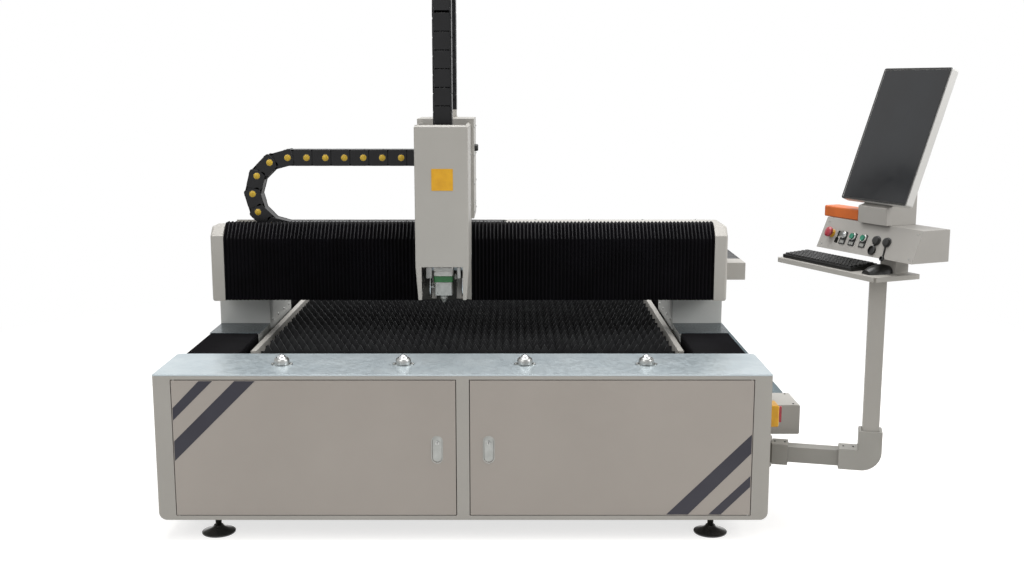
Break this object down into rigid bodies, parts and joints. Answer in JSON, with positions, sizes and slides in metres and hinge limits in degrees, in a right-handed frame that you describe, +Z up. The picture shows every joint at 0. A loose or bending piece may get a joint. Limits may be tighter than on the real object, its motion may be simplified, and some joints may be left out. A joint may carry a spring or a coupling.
{
  "type": "sheet laser cutting machine",
  "caption": "Open-bed flatbed laser cutter: travelling gantry with bellows and drag chains, cutting head, slatted bed, cabinet doors and a swivel operator console.",
  "frame": {"origin": "middle of the whole machine's footprint, on the floor", "axes": "+X to the right as seen from the cabinet doors, +Y from the doors towards the far end of the bed, +Z up"},
  "size_m": [2.9056, 4.8508, 2.2255],
  "materials": {
    "light_grey": "satin",
    "mid_grey": "satin",
    "galvanised": "satin",
    "steel": "satin",
    "dark_steel": "matte",
    "chrome": "polished",
    "black_plastic": "matte",
    "bellows": "matte",
    "chain_plastic": "matte",
    "white_plastic": "gloss",
    "green": "gloss",
    "red": "gloss",
    "yellow": "gloss",
    "orange": "gloss",
    "screen_glass": "gloss"
  },
  "bodies": {
    "bed": {"bed_frame": "light_grey", "front_plate": "galvanised", "levelling_feet": "black_plastic", "ball_transfer_units": "steel", "slats": "dark_steel", "slat_racks": "light_grey", "slag_tray": "steel", "y_guides": "steel", "door_pins": "steel", "side_box": "light_grey", "isolator_plate": "yellow", "y_chain_tray": "galvanised", "y_chain_lower": "chain_plastic", "y_bellows_front": "bellows", "y_bellows_rear": "bellows"},
    "door_left_body": {"door_left": "mid_grey"},
    "door_right_body": {"door_right": "mid_grey"},
    "latch_left_body": {"latch_left": "black_plastic"},
    "latch_right_body": {"latch_right": "black_plastic"},
    "isolator_body": {"isolator_handle": "red"},
    "gantry": {"gantry_foot_left": "light_grey", "gantry_foot_right": "light_grey", "saddle_covers": "galvanised", "beam": "light_grey", "beam_end_caps": "light_grey", "x_guides": "steel", "y_gearmotors": "black_plastic", "y_chain_upper": "chain_plastic", "x_chain_lower": "chain_plastic", "x_bellows_left": "bellows", "x_bellows_right": "bellows"},
    "x_chain_bend_body": {"x_chain_bend": "chain_plastic"},
    "y_chain_bend_body": {"y_chain_bend": "chain_plastic"},
    "carriage_body": {"carriage": "light_grey", "carriage_drives": "black_plastic", "head_cover": "light_grey", "x_chain_upper": "chain_plastic", "z_chain_rear": "chain_plastic"},
    "head": {"z_slide": "galvanised", "head_block": "white_plastic", "head_ring": "green", "head_body": "steel", "nozzle": "chrome", "z_chain_front": "chain_plastic"},
    "arm_body": {"pendant_arm": "mid_grey", "arm_elbow": "mid_grey", "post": "mid_grey"},
    "console": {"console_tray": "light_grey", "console_box": "light_grey", "console_fittings": "black_plastic", "monitor_stand": "light_grey", "monitor": "black_plastic", "screen": "screen_glass", "keyboard": "black_plastic", "mouse": "black_plastic", "hand_remote": "orange"},
    "e_stop_body": {"e_stop_button": "red"},
    "start_body": {"start_button": "green"},
    "stop_body": {"stop_button": "green"},
    "key_body": {"key": "chrome"}
  },
  "joints": [
    {"name": "gantry_slide", "type": "slide", "parent": "bed", "child": "gantry", "axis": [0, 1, 0], "range_m": [0, 2.95], "deforming": ["y_bellows_front", "y_bellows_rear", "y_chain_upper", "y_chain_lower"]},
    {"name": "carriage_slide", "type": "slide", "parent": "gantry", "child": "carriage_body", "axis": [1, 0, 0], "range_m": [-0.65, 0.84], "deforming": ["x_bellows_left", "x_bellows_right", "x_chain_upper", "x_chain_lower"]},
    {"name": "z_slide", "type": "slide", "parent": "carriage_body", "child": "head", "axis": [0, 0, 1], "range_m": [-0.17, 0], "deforming": ["z_chain_front"]},
    {"name": "x_chain_roll", "type": "slide", "parent": "gantry", "child": "x_chain_bend_body", "axis": [1, 0, 0], "range_m": [-0.325, 0.42], "deforming": ["x_chain_upper", "x_chain_lower"]},
    {"name": "y_chain_roll", "type": "slide", "parent": "bed", "child": "y_chain_bend_body", "axis": [0, 1, 0], "range_m": [0, 1.475], "deforming": ["y_chain_upper", "y_chain_lower"]},
    {"name": "door_right_hinge", "type": "hinge", "parent": "bed", "child": "door_right_body", "pos_m": [0.77122, -2.21842, 0.364], "axis": [0, 0, 1], "range_deg": [0, 110]},
    {"name": "door_left_hinge", "type": "hinge", "parent": "bed", "child": "door_left_body", "pos_m": [-1.37678, -2.21842, 0.364], "axis": [0, 0, -1], "range_deg": [0, 110]},
    {"name": "latch_right_pivot", "type": "hinge", "parent": "door_right_body", "child": "latch_right_body", "pos_m": [-0.20628, -2.21762, 0.315], "axis": [1, 0, 0], "range_deg": [0, 30], "stiffness_Nm_per_rad": 0.3, "springref_deg": -8.59},
    {"name": "latch_left_pivot", "type": "hinge", "parent": "door_left_body", "child": "latch_left_body", "pos_m": [-0.39928, -2.21762, 0.315], "axis": [1, 0, 0], "range_deg": [0, 30], "stiffness_Nm_per_rad": 0.3, "springref_deg": -8.59},
    {"name": "isolator_turn", "type": "hinge", "parent": "bed", "child": "isolator_body", "pos_m": [0.88722, -2.14463, 0.474], "axis": [1, 0, 0], "range_deg": [0, 90]},
    {"name": "arm_swivel", "type": "hinge", "parent": "bed", "child": "arm_body", "pos_m": [0.86922, -2.06383, 0.305], "axis": [0, 0, 1], "range_deg": [-40, 10]},
    {"name": "console_swivel", "type": "hinge", "parent": "arm_body", "child": "console", "pos_m": [1.23958, -2.15617, 1.015], "axis": [0, 0, 1], "range_deg": [-20, 75]},
    {"name": "e_stop_push", "type": "slide", "parent": "console", "child": "e_stop_body", "axis": [0.8373, 0.3781, -0.3949], "range_m": [0, 0.005], "stiffness_N_per_m": 800, "springref_m": -0.004},
    {"name": "start_push", "type": "slide", "parent": "console", "child": "start_body", "axis": [0.8373, 0.3781, -0.3949], "range_m": [0, 0.004], "stiffness_N_per_m": 500, "springref_m": -0.003},
    {"name": "stop_push", "type": "slide", "parent": "console", "child": "stop_body", "axis": [0.8373, 0.3781, -0.3949], "range_m": [0, 0.004], "stiffness_N_per_m": 500, "springref_m": -0.003},
    {"name": "key_turn", "type": "hinge", "parent": "console", "child": "key_body", "pos_m": [1.13216, -2.06532, 1.14696], "axis": [-0.8373, -0.3781, 0.3949], "range_deg": [-90, 0]}
  ],
  "couplings": [
    {"joint": "x_chain_roll", "follows": "carriage_slide", "ratio": 0.5},
    {"joint": "y_chain_roll", "follows": "gantry_slide", "ratio": 0.5}
  ]
}
